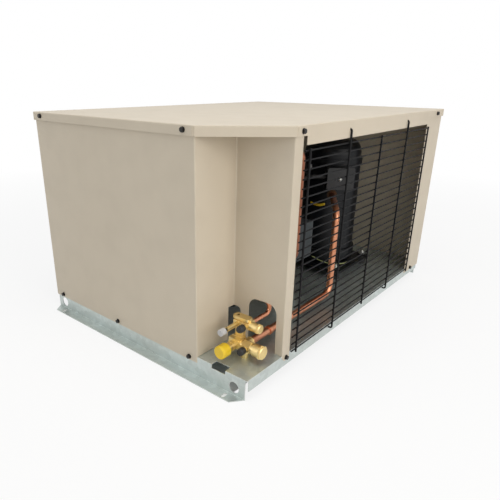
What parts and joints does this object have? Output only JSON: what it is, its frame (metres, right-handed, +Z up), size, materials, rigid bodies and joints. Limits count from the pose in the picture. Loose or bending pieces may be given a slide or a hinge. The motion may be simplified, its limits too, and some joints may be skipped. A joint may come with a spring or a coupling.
{
  "type": "refrigeration condensing unit",
  "caption": "Outdoor air-cooled refrigeration condensing unit: hooded sheet-metal cabinet with wire guard, hermetic compressor, fan and coil, and service valves in a corner recess.",
  "frame": {"origin": "centre of the bounding box in plan, at the underside of the feet", "axes": "+Z up, +X out of the wire guard side, -Y out of the plain service panel"},
  "size_m": [0.662, 0.9256, 0.5],
  "materials": {
    "black_paint": "black enamel",
    "black_plastic": "moulded",
    "black_screw": "black oxide",
    "blade_aluminium": "mill finish",
    "brass": "forged and machined",
    "control_case": "enamel",
    "copper": "drawn tube",
    "cream_panel": "textured powder coat",
    "drier_paint": "enamel",
    "fin_aluminium": "bare fins",
    "galvanised": "spangled zinc",
    "grey_plastic": "moulded",
    "rubber_black": "moulded",
    "yellow_plastic": "moulded",
    "zinc_steel": "zinc plated"
  },
  "bodies": {
    "cabinet": {"base_pan": "galvanised", "bell_mouth": "galvanised", "coil_end_plate_front": "galvanised", "coil_end_plate_rear": "galvanised", "coil_outlet_line": "copper", "coil_return_bends": "copper", "compressor_base": "black_paint", "compressor_bolts": "zinc_steel", "compressor_cap": "black_paint", "compressor_grommets": "rubber_black", "compressor_harness": "black_plastic", "compressor_shell": "black_paint", "condenser_fins": "fin_aluminium", "contactor": "black_plastic", "control_stand": "galvanised", "crankcase_heater": "black_paint", "discharge_line": "copper", "electrical_box": "galvanised", "electrical_cover": "galvanised", "fan_motor": "black_paint", "fan_motor_lead": "black_plastic", "fan_shroud": "galvanised", "filter_drier": "drier_paint", "front_panel": "cream_panel", "liquid_line": "copper", "liquid_receiver": "black_paint", "liquid_valve_body": "brass", "motor_bracket": "galvanised", "panel_screws": "black_screw", "pressure_control": "control_case", "rear_panel": "cream_panel", "receiver_foot": "black_paint", "receiver_line": "copper", "roof_panel": "cream_panel", "roof_screws": "black_screw", "run_capacitor": "black_plastic", "sight_glass": "brass", "suction_fitting": "brass", "suction_line": "copper", "suction_valve_body": "brass", "terminal_blocks": "black_plastic", "terminal_box": "black_plastic", "terminal_cover": "black_plastic", "valve_spacer": "brass", "wire_guard": "black_paint"},
    "fan": {"fan_blade": "blade_aluminium", "fan_shaft": "zinc_steel"},
    "suction_cap": {"suction_stem_cap": "brass"},
    "liquid_cap": {"liquid_stem_cap": "brass"},
    "suction_stem": {"suction_valve_stem": "zinc_steel"},
    "liquid_stem": {"liquid_valve_stem": "zinc_steel"},
    "suction_port_cap": {"suction_port_cap": "black_plastic"},
    "liquid_port_cap": {"liquid_port_cap": "black_plastic"},
    "suction_plug": {"suction_line_plug": "yellow_plastic"},
    "liquid_plug": {"liquid_line_plug": "grey_plastic"},
    "armature": {"contactor_armature": "black_plastic"}
  },
  "joints": [
    {"name": "fan_spin", "type": "hinge", "parent": "cabinet", "child": "fan", "pos_m": [-0.2, 0, 0.257], "axis": [1, 0, 0], "continuous": true},
    {"name": "suction_cap_off", "type": "slide", "parent": "cabinet", "child": "suction_cap", "axis": [1, 0, 0], "range_m": [0, 0.03]},
    {"name": "liquid_cap_off", "type": "slide", "parent": "cabinet", "child": "liquid_cap", "axis": [1, 0, 0], "range_m": [0, 0.03]},
    {"name": "suction_stem_turn", "type": "hinge", "parent": "cabinet", "child": "suction_stem", "pos_m": [0.2825, -0.373, 0.0715], "axis": [-1, 0, 0], "range_deg": [0, 2160]},
    {"name": "liquid_stem_turn", "type": "hinge", "parent": "cabinet", "child": "liquid_stem", "pos_m": [0.2725, -0.364, 0.115], "axis": [-1, 0, 0], "range_deg": [0, 2160]},
    {"name": "suction_port_cap_off", "type": "slide", "parent": "cabinet", "child": "suction_port_cap", "axis": [0, -1, 0], "range_m": [0, 0.02]},
    {"name": "liquid_port_cap_off", "type": "slide", "parent": "cabinet", "child": "liquid_port_cap", "axis": [0, -1, 0], "range_m": [0, 0.02]},
    {"name": "suction_plug_off", "type": "slide", "parent": "cabinet", "child": "suction_plug", "axis": [0, -1, 0], "range_m": [0, 0.035]},
    {"name": "liquid_plug_off", "type": "slide", "parent": "cabinet", "child": "liquid_plug", "axis": [0, -1, 0], "range_m": [0, 0.025]},
    {"name": "armature_pull", "type": "slide", "parent": "cabinet", "child": "armature", "axis": [0, 1, 0], "range_m": [0, 0.003], "stiffness_N_per_m": 400}
  ]
}
